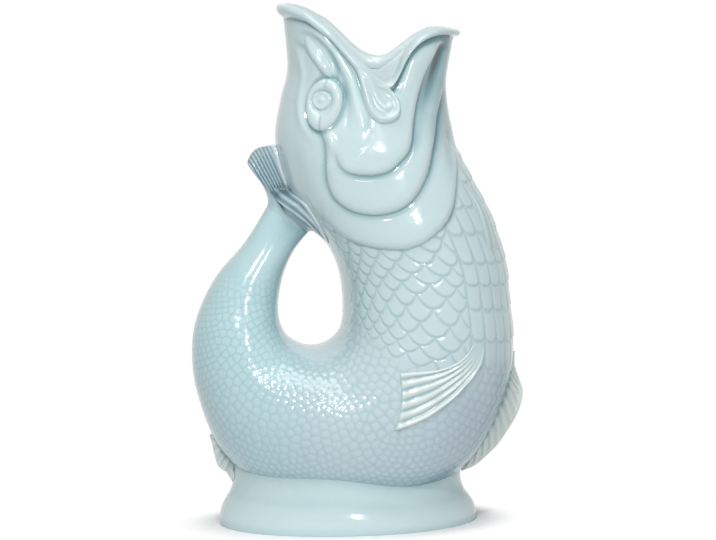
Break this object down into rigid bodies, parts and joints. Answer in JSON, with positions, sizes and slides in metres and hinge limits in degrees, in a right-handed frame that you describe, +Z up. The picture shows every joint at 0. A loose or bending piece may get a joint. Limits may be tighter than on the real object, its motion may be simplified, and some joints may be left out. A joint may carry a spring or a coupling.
{
  "type": "gurgle jug",
  "caption": "Fish-shaped glazed ceramic jug with an open mouth, a hollow tail handle joined to the back of the head, scaled body and an oval foot.",
  "frame": {"origin": "middle of the jug's length and width, on the table", "axes": "+Z up, +X towards the belly and the pouring side, +Y towards the fish's left side"},
  "size_m": [0.1522, 0.1026, 0.2379],
  "materials": {
    "foot_glaze": "glossy pale celadon glaze, darker where it pools",
    "body_glaze": "glossy pale celadon glaze, darker where it pools",
    "head_glaze": "glossy pale celadon glaze, darker where it pools",
    "tail_glaze": "glossy pale celadon glaze, darker where it pools",
    "lip_glaze": "glossy pale celadon glaze, darker where it pools",
    "fin_glaze": "glossy pale celadon glaze, darker where it pools",
    "face_glaze": "glossy pale celadon glaze, darker where it pools"
  },
  "bodies": {
    "root": {"foot": "foot_glaze", "body": "body_glaze", "head": "head_glaze", "mouth_lip": "lip_glaze", "tail_handle": "tail_glaze", "tail_fin": "fin_glaze", "belly_fin": "fin_glaze", "rear_fin": "fin_glaze", "gill_cover_left": "face_glaze", "gill_cover_right": "face_glaze", "cheek_plate_left": "face_glaze", "cheek_plate_right": "face_glaze", "pectoral_fin_left": "fin_glaze", "pectoral_fin_right": "fin_glaze", "pelvic_fin_left": "fin_glaze", "pelvic_fin_right": "fin_glaze", "eye_left": "face_glaze", "eye_right": "face_glaze", "brow_leaf_left": "face_glaze", "brow_leaf_right": "face_glaze", "barbel_left": "face_glaze", "barbel_right": "face_glaze"}
  },
  "joints": []
}
